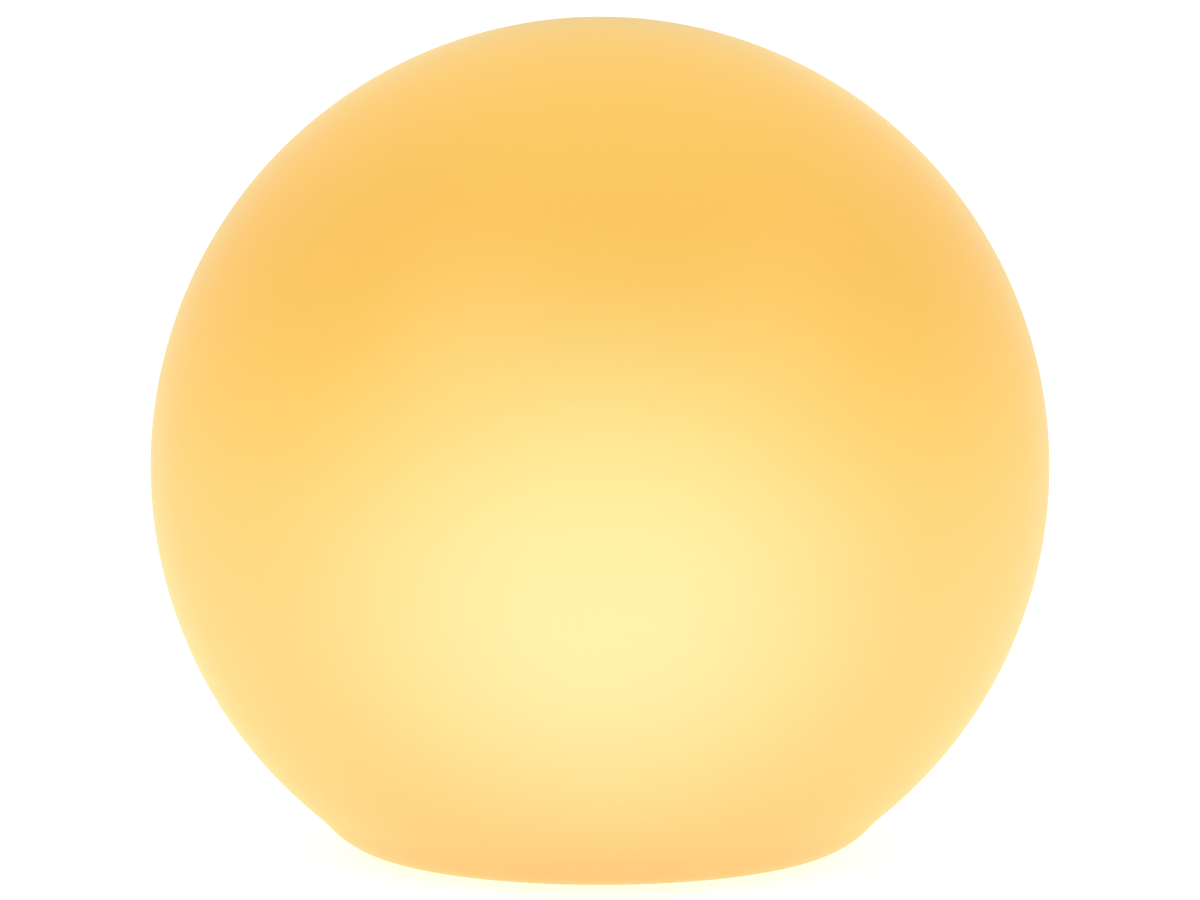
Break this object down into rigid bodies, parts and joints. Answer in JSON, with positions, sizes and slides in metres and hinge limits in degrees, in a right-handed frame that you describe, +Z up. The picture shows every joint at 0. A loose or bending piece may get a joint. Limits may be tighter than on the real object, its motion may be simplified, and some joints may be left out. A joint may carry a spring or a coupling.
{
  "type": "portable globe lamp",
  "caption": "Portable light ball on a flattened foot, with a sealed base module, a push button underneath and a folding hanging bail.",
  "frame": {"origin": "on the ground plane under the centre of the three rubber feet", "axes": "+Z up through the middle of the ball, -Y to the front, where the power button is, and +X to the right"},
  "size_m": [0.25, 0.25, 0.2335],
  "materials": {
    "glowing_polyethylene": "satin rotomoulded wall, lit warm from inside",
    "base_moulding": "fine moulded texture",
    "button_cap": "satin moulded",
    "soft_rubber": "matt",
    "stainless_steel": "drawn and polished",
    "turned_brass": "turned",
    "clear_acrylic": "polished ends",
    "switch_case": "moulded",
    "green_laminate": "solder mask",
    "white_laminate": "white solder mask",
    "copper_winding": "enamelled wire",
    "ferrite": "sintered",
    "tinned_can": "tinned sheet",
    "cell_sleeve": "shrunk sleeve",
    "nickel_strip": "rolled",
    "grey_foam": "closed cell foam",
    "lead_jacket": "silicone jacket",
    "spun_aluminium": "as punched",
    "phosphor": "light chip",
    "frosted_dome": "frosted"
  },
  "bodies": {
    "lamp_body": {"globe_shell": "glowing_polyethylene", "thread_inserts": "turned_brass", "shell_gasket": "soft_rubber", "flange_screws": "stainless_steel", "base_housing": "base_moulding", "foot_pads": "soft_rubber", "button_retainer": "base_moulding", "retainer_screws": "stainless_steel", "switch_body": "switch_case", "status_light_pipe": "clear_acrylic", "status_led": "phosphor", "vent_plug": "button_cap", "charge_coil": "copper_winding", "ferrite_sheet": "ferrite", "control_board": "green_laminate", "radio_module": "tinned_can", "power_inductor": "ferrite", "board_connectors": "white_laminate", "board_standoffs": "turned_brass", "battery_tray": "base_moulding", "tray_screws": "stainless_steel", "battery_cell_front": "cell_sleeve", "battery_cell_back": "cell_sleeve", "battery_contacts": "nickel_strip", "battery_foam": "grey_foam", "battery_lead": "lead_jacket", "led_lead": "lead_jacket", "heat_spreader": "spun_aluminium", "led_board": "white_laminate", "led_board_screws": "stainless_steel", "led_chips": "phosphor", "led_cover": "frosted_dome", "cover_screws": "stainless_steel"},
    "button": {"power_button": "button_cap", "button_seal": "soft_rubber", "switch_plunger": "button_cap"},
    "bail": {"hanging_bail": "stainless_steel"}
  },
  "joints": [
    {"name": "button_press", "type": "slide", "parent": "lamp_body", "child": "button", "axis": [0, 0, 1], "range_m": [0, 0.0008], "stiffness_N_per_m": 1500, "springref_m": -0.0005},
    {"name": "bail_swing", "type": "hinge", "parent": "lamp_body", "child": "bail", "pos_m": [0, 0, 0.00375], "axis": [-1, 0, 0], "range_deg": [0, 90]}
  ]
}
